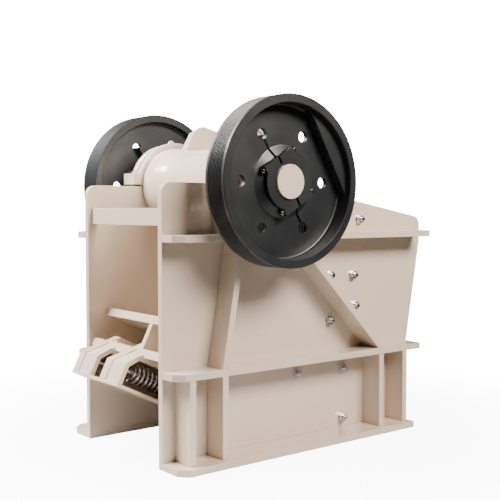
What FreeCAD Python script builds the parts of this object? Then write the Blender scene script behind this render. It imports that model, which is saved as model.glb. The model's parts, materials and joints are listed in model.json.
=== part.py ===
import FreeCAD, Part
import math
import os
import Sketcher
from FreeCAD import Placement, Rotation, Vector

# Single-toggle jaw crusher, millimetres, +Z up.
# X runs along the machine from the toggle and spring end (-X) to the feed end (+X).
# Y runs along the eccentric shaft: the grooved drive pulley is at -Y, the flywheel at +Y.
# The origin is on the floor, under the middle of the overall box.
# Distances called "reach" are measured from the eccentric shaft's axis.

DRIVING_SIZES = {
    # side plates and the plates welded outside them
    "plate": 50, "inner_half": 500, "plate_top": 1955,
    "rear_reach": 805, "slope_start": 364, "nose_reach": 1770, "nose_top": 1706, "nose_low": 1503,
    "toe_reach": 1503, "rear_corner": 70, "nose_corner": 80,
    "shelf_out": 187, "shelf_corner": 65, "upper_shelf_z": 1550, "upper_shelf_setback": 79,
    "middle_shelf_z": 626, "middle_shelf_setback": 38,
    "foot": 50, "foot_out": 242, "foot_setback": 53,
    "rib_one": -705, "rib_two": -435, "rib_three": 1100, "rib_four": 1371,
    "rear_brace_low": -435, "rear_brace_high": -285,
    "front_brace_low": 1090, "front_brace_high": 224, "front_brace_wide": 70,
    "cross_setback": 33, "cross_low": 1658, "cross_high": 1780,
    # wheels
    "shaft_height": 1962, "wheel_radius": 600, "wheel_clear": 25, "wheel_width": 211,
    "rim_thick": 60, "rim_land": 29, "grooves": 6, "groove_deep": 14,
    "web_in": 88, "web_thick": 35, "web_holes": 6, "hole_circle": 371, "hole_radius": 40,
    "hub_radius": 200, "hub_from": 13, "hub_long": 150, "slot_wide": 14, "slot_angle": 120,
    "weight_chord": 420, "weight_angle": 30, "weight_setback": 48,
    # shaft and bearings
    "shaft_radius": 120, "shaft_proud": 16, "throw": 15, "throw_angle": 210,
    "eccentric_radius": 140, "eccentric_short": 48, "running_gap": 0.5,
    "bearing_radius": 340, "bearing_out": 110, "seat_radius": 260, "seat_gap": 3,
    "cover_radius": 230, "cover_thick": 25,
    "ear_reach": 400, "ear_lift": 8, "ear_high": 88, "pedestal_reach": 390,
    # pitman
    "barrel_radius": 280, "barrel_mid_half": 190, "barrel_end_radius": 312, "barrel_clear": 12,
    "barrel_end": 100, "head_rib_in": 245, "head_rib": 62, "head_top": 2432, "head_top_x": 95,
    "head_rear_x": 0, "head_rear_drop": 52, "head_nose_x": 290, "head_nose_drop": 50,
    "pitman_clear": 20, "pitman_side": 40, "swing_backing": 70, "backing_top": 2200,
    "toe_half": 75, "toe_thick": 60, "toe_step": 40, "lug_half": 40, "lug_wide": 45,
    "lug_back": 240, "lug_drop": 40,
    "wall_tuck": 25, "wall_rear": 120, "wall_drop": 200, "waist_in": 130, "waist_up": 720,
    "head_rib_rear": 110, "head_rib_rise": 200,
    # jaws and their walls
    "swing_lean": 12.25, "swing_low_x": 790, "swing_length": 1660,
    "jaw_low": 127, "die": 90, "teeth": 11, "tooth_deep": 30, "die_margin": 5,
    "fixed_lean": 10.4, "fixed_low_x": 930, "fixed_length": 1594,
    "wall": 60, "wall_ribs": 4, "wall_rib": 50, "wall_rib_reach": 535, "wall_up": 1640,
    "cheek": 40, "cheek_gap": 3, "cheek_joint": 1128, "cheek_top": 1690, "cheek_behind": 60,
    # inclined toggle and spring end, in its own frame: "along" runs down to the front, "up" is square to it
    "tilt": 26, "spring_reach": 1035, "spring_low": 570,
    "tray": 24, "tray_margin": 5, "tray_long": 520,
    "house_wide": 265, "house_middle": 202, "house_rear": 170, "house_cut": 80, "house_up": 255,
    "house_long": 520, "house_wall": 32, "house_end": 28,
    "arch": 80, "arch_up": 372, "arch_cut": 225, "arch_long": 430, "slot_gap": 2,
    "beam_plate": 61, "beam_low_back": 150, "beam_top_up": 509, "beam_top_back": 169,
    "beam_front": 700, "beam_web": 60, "gusset": 44, "gusset_side": 173, "gusset_long": 360,
    "toggle_up": 421, "toggle": 60, "toggle_seat": 60, "toggle_seat_high": 130, "toggle_front": 1330,
    "toggle_gap": 15, "toggle_short": 120,
    "rod_up": 135, "rod_radius": 18, "rod_back": 50, "rod_front": 1280, "rod_hole_gap": 0.5,
    "collar": 14, "collar_gap": 0.4,
    "coil_radius": 64, "wire_radius": 10, "coil_pitch": 38, "coil_turns": 9, "coil_gap": 0.3,
}

doc = FreeCAD.newDocument("JawCrusher")
sheet = doc.addObject("Spreadsheet::Sheet", "sizes")
for row, (alias, number) in enumerate(DRIVING_SIZES.items(), start=1):
    sheet.set(f"A{row}", alias)
    sheet.set(f"B{row}", str(number))
    sheet.setAlias(f"B{row}", alias)
doc.recompute()


class Size:
    """A length that knows its value now and the sheet expression that keeps it up to date."""

    def __init__(self, value, text):
        self.value = value
        self.text = text

    def _join(self, other, sign, result, swap=False):
        other_text = other.text if isinstance(other, Size) else repr(other)
        first, second = (other_text, self.text) if swap else (self.text, other_text)
        return Size(result, f"({first} {sign} {second})")

    def __add__(self, other):
        return self._join(other, "+", self.value + number(other))

    def __radd__(self, other):
        return self._join(other, "+", self.value + number(other), swap=True)

    def __sub__(self, other):
        return self._join(other, "-", self.value - number(other))

    def __rsub__(self, other):
        return self._join(other, "-", number(other) - self.value, swap=True)

    def __mul__(self, other):
        return self._join(other, "*", self.value * number(other))

    def __rmul__(self, other):
        return self._join(other, "*", self.value * number(other), swap=True)

    def __truediv__(self, other):
        return self._join(other, "/", self.value / number(other))

    def __neg__(self):
        return Size(-self.value, f"(-{self.text})")


def number(size):
    return size.value if isinstance(size, Size) else size


def text(size):
    return size.text if isinstance(size, Size) else repr(size)


def sine(angle):
    return Size(math.sin(math.radians(angle.value)), f"sin({angle.text} * 1 deg)")


def cosine(angle):
    return Size(math.cos(math.radians(angle.value)), f"cos({angle.text} * 1 deg)")


def tangent(angle):
    return Size(math.tan(math.radians(angle.value)), f"tan({angle.text} * 1 deg)")


class Sizes:
    """Reads a driving size from the sheet as a Size: S.plate is the cell with the alias plate."""

    def __getattr__(self, alias):
        return Size(float(sheet.get(alias)), f"sizes.{alias}")


S = Sizes()
AXIS_X = (S.spring_reach - S.nose_reach) / 2.0   # the shaft's place, so that X = 0 is the box's middle
finished = []                                    # the sub-parts that are written out


def bind(item, prop, size):
    """Sets a property and ties it to the sheet."""
    item.setExpression(prop, text(size))


def place(item, x=0.0, y=0.0, z=0.0, turn=None):
    """Puts an object at x, y, z, turned about +Y by the angle turn."""
    for letter, size in (("x", x), ("y", y), ("z", z)):
        bind(item, f".Placement.Base.{letter}", size)
    if turn is not None:
        item.Placement = Placement(item.Placement.Base, Rotation(Vector(0, 1, 0), number(turn)))
        bind(item, ".Placement.Rotation.Angle", turn)
    return item


def finish(item, label):
    """Gives a sub-part its name and puts it on the list of files."""
    item.Label = label
    finished.append(item)
    return item


# ---------------------------------------------------------------- building blocks

def plane_of(body, role):
    for feature in body.Origin.OriginFeatures:
        if feature.Role == role:
            return feature
    raise ValueError(role)


def outline(body, name, role, offset, points):
    """A closed sketch of straight lines on one of the body's origin planes, every corner tied to the sheet."""
    sketch = body.newObject("Sketcher::SketchObject", name)
    sketch.AttachmentSupport = (plane_of(body, role), [""])
    sketch.MapMode = "FlatFace"
    bind(sketch, ".AttachmentOffset.Base.z", offset)
    corners = [Vector(number(u), number(v), 0) for u, v in points]
    count = len(corners)
    for index in range(count):
        sketch.addGeometry(Part.LineSegment(corners[index], corners[(index + 1) % count]), False)
    for index in range(count):
        sketch.addConstraint(Sketcher.Constraint("Coincident", index, 2, (index + 1) % count, 1))
    for index, (u, v) in enumerate(points):
        for kind, size in (("DistanceX", u), ("DistanceY", v)):
            spot = sketch.addConstraint(Sketcher.Constraint(kind, -1, 1, index, 1, number(size)))
            if isinstance(size, Size):
                sketch.setExpression(f"Constraints[{spot}]", size.text)
    return sketch


def pad(body, sketch, length):
    feature = body.newObject("PartDesign::Pad", "Pad")
    feature.Profile = sketch
    bind(feature, "Length", length)
    sketch.Visibility = False
    body.Tip = feature
    return feature


def side_slab(name, points, y_low, y_high):
    """A plate with its outline in X and Z, from y_low to y_high."""
    body = doc.addObject("PartDesign::Body", name)
    sketch = outline(body, name + "_outline", "XZ_Plane", -y_high, points)
    pad(body, sketch, y_high - y_low)
    return body


def flat_slab(name, points, z_low, z_high):
    """A plate with its outline in X and Y, from z_low to z_high."""
    body = doc.addObject("PartDesign::Body", name)
    sketch = outline(body, name + "_outline", "XY_Plane", z_low, points)
    pad(body, sketch, z_high - z_low)
    return body


def spun(name, points):
    """A turned piece: its half section (Y, radius) spun about the body's own Y axis."""
    body = doc.addObject("PartDesign::Body", name)
    sketch = outline(body, name + "_section", "YZ_Plane", 0, points)
    turn = body.newObject("PartDesign::Revolution", "Revolution")
    turn.Profile = sketch
    turn.ReferenceAxis = (sketch, ["H_Axis"])
    turn.Angle = 360
    sketch.Visibility = False
    body.Tip = turn
    return body


def box(name, x, y, z):
    """A block between two places on each axis."""
    item = doc.addObject("Part::Box", name)
    for prop, (low, high) in (("Length", x), ("Width", y), ("Height", z)):
        bind(item, prop, high - low)
    return place(item, x[0], y[0], z[0])


def bar(name, radius, y_low, y_high, x=0.0, z=0.0, half=None):
    """A round bar along Y. half is "top" or "bottom" for half a bar."""
    item = doc.addObject("Part::Cylinder", name)
    bind(item, "Radius", radius)
    bind(item, "Height", y_high - y_low)
    upward = half == "top"
    item.Placement = Placement(Vector(), Rotation(Vector(1, 0, 0), 90 if upward else -90))
    if half:
        item.Angle = 180
    return place(item, x, y_high if upward else y_low, z)


def taper(name, radius_low, radius_high, y_low, y_high, x=0.0, z=0.0):
    """A cone along Y."""
    item = doc.addObject("Part::Cone", name)
    bind(item, "Radius1", radius_low)
    bind(item, "Radius2", radius_high)
    bind(item, "Height", y_high - y_low)
    item.Placement = Placement(Vector(), Rotation(Vector(1, 0, 0), -90))
    return place(item, x, y_low, z)


def fuse(name, pieces):
    item = doc.addObject("Part::MultiFuse", name)
    item.Shapes = pieces
    item.Refine = True
    return item


def cut(name, base, tool):
    item = doc.addObject("Part::Cut", name)
    item.Base = base
    item.Tool = tool
    item.Refine = True
    return item


def common(name, base, tool):
    item = doc.addObject("Part::Common", name)
    item.Base = base
    item.Tool = tool
    return item


def group(name, pieces):
    """Like pieces in one sub-part, as solids that don't touch."""
    item = doc.addObject("Part::Compound", name)
    item.Links = pieces
    return item


def round_edges(body, radius, chosen):
    """Fillets the edges of the body's tip that chosen(edge) picks."""
    doc.recompute()
    base = body.Tip
    names = [f"Edge{i}" for i, edge in enumerate(base.Shape.Edges, start=1) if chosen(edge)]
    feature = body.newObject("PartDesign::Fillet", "Fillet")
    feature.Base = (base, names)
    bind(feature, "Radius", radius)
    body.Tip = feature
    return feature


def both_sides(side):
    """Names and Y span maker for the pulley side (-1) and the flywheel side (+1)."""
    word = "pulley_side" if side < 0 else "flywheel_side"

    def span(inner, outer):
        return (-outer, -inner) if side < 0 else (inner, outer)

    return word, span


SIDES = (-1, 1)
OUTER_HALF = S.inner_half + S.plate
SHELF_HALF = OUTER_HALF + S.shelf_out
BEARING_END = OUTER_HALF + S.bearing_out
WHEEL_IN = SHELF_HALF + S.wheel_clear
WEB_OUT = WHEEL_IN + S.web_in
HUB_IN = WHEEL_IN + S.hub_from
HUB_OUT = HUB_IN + S.hub_long
BARREL_HALF = S.inner_half - S.barrel_clear
PITMAN_HALF = S.inner_half - S.cheek - S.pitman_clear


# ---------------------------------------------------------------- frame

def front_edge(z):
    """X of the side plate's leaning front edge at the height z."""
    lean = (S.nose_reach - S.toe_reach) / (S.nose_low - S.foot)
    return S.nose_reach - (S.nose_low - z) * lean


def side_plate(side):
    word, span = both_sides(side)
    points = [
        (-S.rear_reach, S.foot), (front_edge(S.foot), S.foot), (S.nose_reach, S.nose_low),
        (S.nose_reach, S.nose_top), (S.slope_start, S.plate_top), (-S.rear_reach, S.plate_top),
    ]
    y_low, y_high = span(S.inner_half, OUTER_HALF)
    body = side_slab(word + "_blank", points, y_low, y_high)

    def upright_corner(x, z):
        def chosen(edge):
            centre = edge.CenterOfMass
            return abs(centre.x - x.value) < 1 and abs(centre.z - z.value) < 1
        return chosen

    round_edges(body, S.rear_corner, upright_corner(-S.rear_reach, S.plate_top))
    round_edges(body, S.nose_corner, upright_corner(S.nose_reach, S.nose_top))
    notch = bar(word + "_notch", S.seat_radius + S.seat_gap, y_low - S.plate, y_high + S.plate,
                0.0, S.shaft_height)
    finish(place(cut(word + "_plate", body, notch), AXIS_X), word + "_plate")


def shelf(side, name, inner, half, reach, z_low, thick):
    """A horizontal plate outside a side plate, from inner to half, its rear corner cut at 45 degrees."""
    word, _ = both_sides(side)
    points = [
        (-S.rear_reach, side * inner), (-S.rear_reach, side * (half - S.shelf_corner)),
        (S.shelf_corner - S.rear_reach, side * half), (reach, side * half), (reach, side * inner),
    ]
    body = flat_slab(f"{word}_{name}", points, z_low, z_low + thick)
    finish(place(body, AXIS_X), f"{word}_{name}")


def lower_ribs(side):
    """Four upright ribs between the foot and the middle shelf."""
    word, span = both_sides(side)
    ribs = []
    for index, x in enumerate((S.rib_one, S.rib_two, S.rib_three, S.rib_four)):
        ribs.append(box(f"{word}_rib_{index}", (x, x + S.plate), span(OUTER_HALF, SHELF_HALF),
                        (S.foot, S.middle_shelf_z)))
    finish(place(group(f"{word}_lower_ribs", ribs), AXIS_X), f"{word}_lower_ribs")


def brace(side, name, low, high, wide):
    """A leaning plate between the middle and the upper shelf."""
    word, span = both_sides(side)
    bottom = S.middle_shelf_z + S.plate
    points = [(low, bottom), (low + wide, bottom), (high + wide, S.upper_shelf_z), (high, S.upper_shelf_z)]
    body = side_slab(f"{word}_{name}", points, *span(OUTER_HALF, SHELF_HALF))
    finish(place(body, AXIS_X), f"{word}_{name}")


def rear_cross_plate():
    x = S.cross_setback - S.rear_reach
    item = box("rear_cross_plate", (x, x + S.plate), (-S.inner_half, S.inner_half), (S.cross_low, S.cross_high))
    bind(item, ".Placement.Base.x", x + AXIS_X)
    finish(item, "rear_cross_plate")


# ---------------------------------------------------------------- bearings

def bearing_base(side):
    """The lower half housing: a block on the upper shelf, with a round seat in the side plate's notch."""
    word, span = both_sides(side)
    name = f"{word}_bearing_base"
    height = S.shaft_height
    outside = span(OUTER_HALF, BEARING_END)
    pieces = [
        bar(name + "_seat", S.seat_radius, *span(S.inner_half, OUTER_HALF), 0.0, height, "bottom"),
        bar(name + "_body", S.bearing_radius, *outside, 0.0, height, "bottom"),
        box(name + "_block", (-S.pedestal_reach, S.pedestal_reach), outside,
            (S.upper_shelf_z + S.plate, S.plate_top)),
        bar(name + "_cover", S.cover_radius, *span(BEARING_END, BEARING_END + S.cover_thick),
            0.0, height, "bottom"),
    ]
    bearing_half(side, name, pieces)


def bearing_cap(side):
    """The upper half housing, with an ear at the front and rear for its bolts."""
    word, span = both_sides(side)
    name = f"{word}_bearing_cap"
    height = S.shaft_height
    whole = span(S.inner_half, BEARING_END)
    ear_low = height + S.ear_lift
    pieces = [
        bar(name + "_body", S.bearing_radius, *whole, 0.0, height, "top"),
        box(name + "_ears", (-S.ear_reach, S.ear_reach), whole, (ear_low, ear_low + S.ear_high)),
        bar(name + "_cover", S.cover_radius, *span(BEARING_END, BEARING_END + S.cover_thick),
            0.0, height, "top"),
    ]
    bearing_half(side, name, pieces)


def bearing_half(side, name, pieces):
    """Joins the pieces of a half housing and bores it for the shaft."""
    _, span = both_sides(side)
    long_bore = span(S.inner_half - S.plate, BEARING_END + S.plate)
    bore = bar(name + "_bore", S.shaft_radius + S.running_gap, *long_bore, 0.0, S.shaft_height)
    finish(place(cut(name, fuse(name + "_solid", pieces), bore), AXIS_X), name)


# ---------------------------------------------------------------- rotor

def shaft():
    """The eccentric shaft: a straight shaft with a thicker, offset middle inside the pitman's barrel."""
    end, thick = HUB_OUT + S.shaft_proud, BARREL_HALF - S.eccentric_short
    ends = bar("shaft_ends", S.shaft_radius, -end, end, 0.0, S.shaft_height)
    middle = bar("shaft_middle", S.eccentric_radius, -thick, thick,
                 S.throw * cosine(S.throw_angle), S.shaft_height + S.throw * sine(S.throw_angle))
    finish(place(fuse("eccentric_shaft", [ends, middle]), AXIS_X), "eccentric_shaft")


def wheel_section(side, grooved):
    """Half section (Y, radius) of a wheel, from the shaft out to the rim."""
    _, span = both_sides(side)
    inner_edge = S.wheel_radius - S.rim_thick
    outboard = WHEEL_IN + S.wheel_width
    web_in = WEB_OUT - S.web_thick
    bore = S.shaft_radius
    half = [
        (HUB_OUT, bore), (HUB_OUT, S.hub_radius), (WEB_OUT, S.hub_radius),
        (WEB_OUT, inner_edge), (outboard, inner_edge), (outboard, S.wheel_radius),
    ]
    if grooved:
        count = int(S.grooves.value)
        start = outboard - S.rim_land
        pitch = (S.wheel_width - 2 * S.rim_land) / S.grooves
        for index in range(count):
            left = start - index * pitch
            half.append((left, S.wheel_radius))
            half.append((left - pitch * 0.35, S.wheel_radius - S.groove_deep))
            half.append((left - pitch * 0.55, S.wheel_radius - S.groove_deep))
            half.append((left - pitch * 0.9, S.wheel_radius))
    half += [
        (WHEEL_IN, S.wheel_radius), (WHEEL_IN, inner_edge), (web_in, inner_edge),
        (web_in, S.hub_radius), (HUB_IN, S.hub_radius), (HUB_IN, bore),
    ]
    return [(side * y, radius) for y, radius in half]


def wheel(side, name, grooved):
    """A wheel with round holes in its web and a slot that splits the hub, so that it clamps the shaft."""
    _, span = both_sides(side)
    body = spun(name + "_turned", wheel_section(side, grooved))
    place(body, 0.0, 0.0, S.shaft_height)
    tools = []
    reach = span(WHEEL_IN - S.plate, WHEEL_IN + S.wheel_width + S.plate)
    for index in range(int(S.web_holes.value)):
        angle = Size(360.0 * index / S.web_holes.value, f"(360 * {index} / sizes.web_holes)")
        tools.append(bar(f"{name}_hole_{index}", S.hole_radius, *reach, S.hole_circle * cosine(angle),
                         S.shaft_height + S.hole_circle * sine(angle)))
    slot = box(f"{name}_slot", (-S.hole_circle, S.hole_circle), reach, (-S.slot_wide / 2.0, S.slot_wide / 2.0))
    holder = group(f"{name}_slot_holder", [slot])
    tools.append(place(holder, 0.0, 0.0, S.shaft_height, -S.slot_angle))
    finish(place(cut(name, body, fuse(name + "_holes", tools)), AXIS_X), name)


def counterweight(side, name):
    """The weight cast in a wheel opposite the eccentric: a round segment beyond a chord."""
    _, span = both_sides(side)
    y = span(WEB_OUT, WHEEL_IN + S.wheel_width - S.weight_setback)
    disc = bar(name + "_disc", S.wheel_radius - S.rim_thick, *y)
    beyond = box(name + "_beyond", (S.weight_chord, S.wheel_radius), y, (-S.wheel_radius, S.wheel_radius))
    segment = common(name, disc, beyond)
    finish(place(segment, AXIS_X, 0.0, S.shaft_height, -S.weight_angle), name)


# ---------------------------------------------------------------- pitman and jaws

SWING_SLOPE = tangent(S.swing_lean)
FIXED_SLOPE = tangent(S.fixed_lean)
PITMAN_X = S.throw * cosine(S.throw_angle)
PITMAN_Z = S.throw * sine(S.throw_angle)
CREST_START = 0.3
CREST_END = 0.7


def swing_face(z):
    """X of the swing jaw's face at the height z."""
    return S.swing_low_x - (z - S.jaw_low) * SWING_SLOPE


def tilted_point(along, up):
    """X from the shaft, and Z, of a place in the toggle end's own frame."""
    x = along * cosine(S.tilt) + up * sine(S.tilt) - S.spring_reach
    z = S.spring_low - along * sine(S.tilt) + up * cosine(S.tilt)
    return x, z


def barrel():
    """The pitman's barrel round the eccentric, waisted between its two bearing ends."""
    x, z = PITMAN_X, S.shaft_height + PITMAN_Z
    half, mid, end = BARREL_HALF, S.barrel_mid_half, S.barrel_end
    return [
        bar("barrel_middle", S.barrel_radius, -half, half, x, z),
        bar("barrel_end_low", S.barrel_end_radius, -half, end - half, x, z),
        bar("barrel_end_high", S.barrel_end_radius, half - end, half, x, z),
        taper("barrel_flare_low", S.barrel_end_radius, S.barrel_radius, end - half, -mid, x, z),
        taper("barrel_flare_high", S.barrel_radius, S.barrel_end_radius, mid, half - end, x, z),
    ]


def pitman():
    """One casting: barrel, jaw backing, side walls, head ribs, the toe's toggle seat and the rod lugs."""
    to_back = S.die / cosine(S.swing_lean)
    to_rear = (S.die + S.swing_backing) / cosine(S.swing_lean)
    low, high = S.jaw_low, S.backing_top
    pieces = barrel()
    backing = [
        (swing_face(low) - to_rear, low), (swing_face(low) - to_back, low),
        (swing_face(high) - to_back, high), (swing_face(high) - to_rear, high),
    ]
    pieces.append(side_slab("pitman_backing", backing, -PITMAN_HALF, PITMAN_HALF))
    inside = to_rear - S.wall_tuck
    seat = S.toggle_front + S.toggle_gap
    seat_high = tilted_point(seat, S.toggle_up + S.toe_half)
    seat_low = tilted_point(seat, S.toggle_up - S.toe_half)
    lug_x = swing_face(low) - to_rear - S.lug_back
    wall = [
        (swing_face(low) - inside, low), (swing_face(high) - inside, high), (PITMAN_X, S.shaft_height),
        (PITMAN_X - S.wall_rear, S.shaft_height - S.wall_drop),
        (seat_high[0] - S.waist_in, seat_high[1] + S.waist_up),
        seat_high, seat_low, (lug_x, low),
    ]
    pieces.append(side_slab("pitman_wall_low", wall, -PITMAN_HALF, S.pitman_side - PITMAN_HALF))
    pieces.append(side_slab("pitman_wall_high", wall, PITMAN_HALF - S.pitman_side, PITMAN_HALF))
    for side in SIDES:
        _, span = both_sides(side)
        head_rib = [
            (swing_face(high) - inside, high), (S.head_nose_x, S.head_top - S.head_nose_drop),
            (S.head_top_x, S.head_top), (S.head_rear_x, S.head_top - S.head_rear_drop),
            (PITMAN_X - S.head_rib_rear, S.shaft_height + S.head_rib_rise), (PITMAN_X, S.shaft_height),
            (swing_face(S.shaft_height) - inside, S.shaft_height),
        ]
        pieces.append(side_slab(f"head_rib_{side}", head_rib, *span(S.head_rib_in, S.head_rib_in + S.head_rib)))
        lug = [
            tilted_point(S.rod_front + S.toggle_gap, S.rod_up + S.lug_half),
            tilted_point(S.rod_front + S.toggle_gap, S.rod_up - S.lug_half),
            (lug_x, low - S.lug_drop), (swing_face(low) - inside, low),
            (swing_face(low) - inside, low + S.toe_thick), (lug_x, low + S.toe_thick),
        ]
        pieces.append(side_slab(f"rod_lug_{side}", lug, rod_side(side) - S.lug_wide, rod_side(side) + S.lug_wide))
    toe = [
        seat_high, seat_low, (lug_x, low), (swing_face(low) - inside, low),
        (swing_face(low) - inside, low + S.toe_thick), (lug_x + S.toe_step, low + 2.0 * S.toe_step),
        (swing_face(seat_high[1]) - inside, seat_high[1] - S.toe_thick),
        (swing_face(seat_high[1]) - inside, seat_high[1]),
    ]
    pieces.append(side_slab("pitman_toe", toe, -PITMAN_HALF, PITMAN_HALF))
    solid = fuse("pitman_solid", pieces)
    bore = bar("pitman_bore", S.eccentric_radius + S.running_gap, -S.inner_half, S.inner_half,
               PITMAN_X, S.shaft_height + PITMAN_Z)
    finish(place(cut("pitman", solid, bore), AXIS_X), "pitman")


def die_section(half, sign):
    """A corrugated jaw die seen from its end: its back at -sign * die, its teeth's crests at zero."""
    pitch = 2.0 * half / S.teeth
    points = [(-sign * S.die, half), (-sign * S.die, -half)]
    for index in range(int(S.teeth.value)):
        left = pitch * index - half
        points.append((-sign * S.tooth_deep, left))
        points.append((0.0 * S.die, left + pitch * CREST_START))
        points.append((0.0 * S.die, left + pitch * CREST_END))
    points.append((-sign * S.tooth_deep, half))
    return points


def jaw_die(name, x, half, lean, length, sign):
    body = flat_slab(name, die_section(half, sign), 0.0 * length, length)
    finish(place(body, AXIS_X + x, 0.0, S.jaw_low, lean), name)


def front_wall():
    """The wall that backs the fixed jaw, leaning with the side plates' front edge, and its outer ribs."""
    outer = S.die + S.wall
    body = flat_slab("front_wall", [
        (S.die, -S.inner_half), (outer, -S.inner_half), (outer, S.inner_half), (S.die, S.inner_half),
    ], 0.0 * S.wall, S.wall_up)
    at_jaw = (AXIS_X + S.fixed_low_x, 0.0, S.jaw_low, S.fixed_lean)
    finish(place(body, *at_jaw), "front_wall")
    ribs = []
    for index in range(int(S.wall_ribs.value)):
        z = (S.wall_up - S.wall_rib) * index / (S.wall_ribs - 1)
        ribs.append(box(f"wall_rib_{index}", (outer, S.wall_rib_reach), (-S.inner_half, S.inner_half),
                        (z, z + S.wall_rib)))
    finish(place(group("front_wall_ribs", ribs), *at_jaw), "front_wall_ribs")


def cheek_plates(side):
    """Wear plates on the inside of the side plate, one above the other, between the two jaws."""
    word, span = both_sides(side)

    def wall_face(z):
        return S.fixed_low_x + S.die / cosine(S.fixed_lean) + (z - S.jaw_low) * FIXED_SLOPE - S.cheek_gap

    low_plate = (S.jaw_low, S.cheek_joint - S.cheek_gap)
    high_plate = (S.cheek_joint + S.cheek_gap, S.cheek_top)
    plates = []
    for index, (low, high) in enumerate((low_plate, high_plate)):
        points = [
            (swing_face(low) - S.cheek_behind, low), (wall_face(low), low),
            (wall_face(high), high), (swing_face(high) - S.cheek_behind, high),
        ]
        plates.append(side_slab(f"{word}_cheek_{index}", points, *span(S.inner_half - S.cheek, S.inner_half)))
    finish(place(group(f"{word}_cheek_plates", plates), AXIS_X), f"{word}_cheek_plates")


# ---------------------------------------------------------------- toggle and spring end

def tilted(item, label):
    """Puts a piece of the inclined toggle end in its place."""
    return finish(place(item, AXIS_X - S.spring_reach, 0.0, S.spring_low, S.tilt), label)


def rod_side(side):
    """Y of a tension rod: the middle of its housing's hollow."""
    return S.house_middle * side - S.house_end / 2.0


def house_outline(cut_back, top, long):
    """A housing's side: it stands on the tray, and its upper rear corner is cut off."""
    zero = 0.0 * S.plate
    return [(zero, S.tray), (long, S.tray), (long, top), (cut_back, top), (zero, S.house_rear)]


def window_outline():
    """The housing's hollow, one wall thickness inside its outline, down to the tray."""
    wall = S.house_wall
    return [
        (wall, S.tray), (S.house_long - wall, S.tray), (S.house_long - wall, S.house_up - wall),
        (S.house_cut + wall / 2.0, S.house_up - wall), (wall, S.house_rear - wall / 2.0),
    ]


def spring_housing(side):
    """A welded housing over one spring: a box open to -Y, with a taller arch along its +Y end."""
    word = "pulley_side" if side < 0 else "flywheel_side"
    y_low = S.house_middle * side - S.house_wide / 2.0
    y_high = S.house_middle * side + S.house_wide / 2.0
    shell = side_slab(f"{word}_shell", house_outline(S.house_cut, S.house_up, S.house_long), y_low, y_high)
    arch = side_slab(f"{word}_arch", house_outline(S.arch_cut, S.arch_up, S.arch_long), y_high - S.arch, y_high)
    hollow = side_slab(f"{word}_hollow", window_outline(), y_low - S.plate, y_high - S.house_end)
    hole = along_bar(f"{word}_rod_hole", S.rod_radius + S.rod_hole_gap, S.beam_low_back, S.house_long,
                     rod_side(side), S.rod_up)
    solid = fuse(f"{word}_housing_solid", [shell, arch])
    tools = fuse(f"{word}_housing_tools", [hollow, hole])
    tilted(cut(f"{word}_spring_housing", solid, tools), f"{word}_spring_housing")


def spring_start():
    """Where a spring begins, so that it ends at its housing's front wall."""
    return S.house_long - S.house_wall - S.coil_pitch * S.coil_turns - S.wire_radius * 2.0 - S.coil_gap


def spring_tray():
    """The plate under both spring housings."""
    half = S.house_middle + S.house_wide / 2.0 + S.tray_margin
    tray = box("spring_tray_plate", (0.0 * S.tray, S.tray_long), (-half, half), (0.0 * S.tray, S.tray))
    tilted(group("spring_tray", [tray]), "spring_tray")


def beam():
    """The inclined beam that takes the toggle's thrust: two plates, the web between them and a gusset."""
    half = S.inner_half
    low_top = S.house_up + S.beam_plate
    lower = box("beam_lower_blank", (S.beam_low_back, S.beam_front), (-half, half), (S.house_up, low_top))
    slots = []
    for side in SIDES:
        y_high = S.house_middle * side + S.house_wide / 2.0
        slots.append(box(f"beam_slot_{side}", (0.0 * S.tray, S.arch_long + S.slot_gap),
                         (y_high - S.arch - S.slot_gap, y_high + S.slot_gap),
                         (S.house_up - S.tray, low_top + S.tray)))
    tilted(cut("beam_lower_plate", lower, fuse("beam_slots", slots)), "beam_lower_plate")
    upper = box("beam_upper", (S.beam_top_back, S.beam_front), (-half, half),
                (S.beam_top_up, S.beam_top_up + S.beam_plate))
    tilted(group("beam_upper_plate", [upper]), "beam_upper_plate")
    web = box("beam_web_plate", (S.beam_front - S.beam_web, S.beam_front), (-half, half), (low_top, S.beam_top_up))
    tilted(group("beam_web", [web]), "beam_web")
    gusset = box("beam_gusset_plate", (S.beam_top_back, S.beam_top_back + S.gusset_long),
                 (-S.gusset_side - S.gusset / 2.0, S.gusset / 2.0 - S.gusset_side), (low_top, S.beam_top_up))
    tilted(group("beam_gusset", [gusset]), "beam_gusset")


def toggle():
    """The toggle's seat on the beam, and the toggle plate that runs down to the pitman's toe."""
    half = S.inner_half - S.toggle_short
    y = (-half, half)
    middle = S.toggle_up
    front = S.beam_front + S.toggle_seat
    seat = box("toggle_seat_block", (S.beam_front, front), y,
               (middle - S.toggle_seat_high / 2.0, middle + S.toggle_seat_high / 2.0))
    tilted(group("toggle_seat", [seat]), "toggle_seat")
    plate = box("toggle_plate_blank", (front, S.toggle_front), y,
                (middle - S.toggle / 2.0, middle + S.toggle / 2.0))
    tilted(group("toggle_plate", [plate]), "toggle_plate")


def along_bar(name, radius, start, length, y, up):
    """A round bar along the tilted frame's long axis."""
    item = doc.addObject("Part::Cylinder", name)
    bind(item, "Radius", radius)
    bind(item, "Height", length)
    item.Placement = Placement(Vector(), Rotation(Vector(0, 1, 0), 90))
    return place(item, start, y, up)


def tension_rods():
    """Two rods through the springs, each with the collar that holds its spring."""
    rods = []
    for side in SIDES:
        y = rod_side(side)
        rod = along_bar(f"rod_{side}", S.rod_radius, S.rod_back, S.rod_front - S.rod_back, y, S.rod_up)
        collar = along_bar(f"collar_{side}", S.coil_radius - S.wire_radius - S.collar_gap,
                           spring_start() + S.wire_radius, S.collar, y, S.rod_up)
        rods.append(fuse(f"rod_and_collar_{side}", [rod, collar]))
    tilted(group("tension_rods", rods), "tension_rods")


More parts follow.
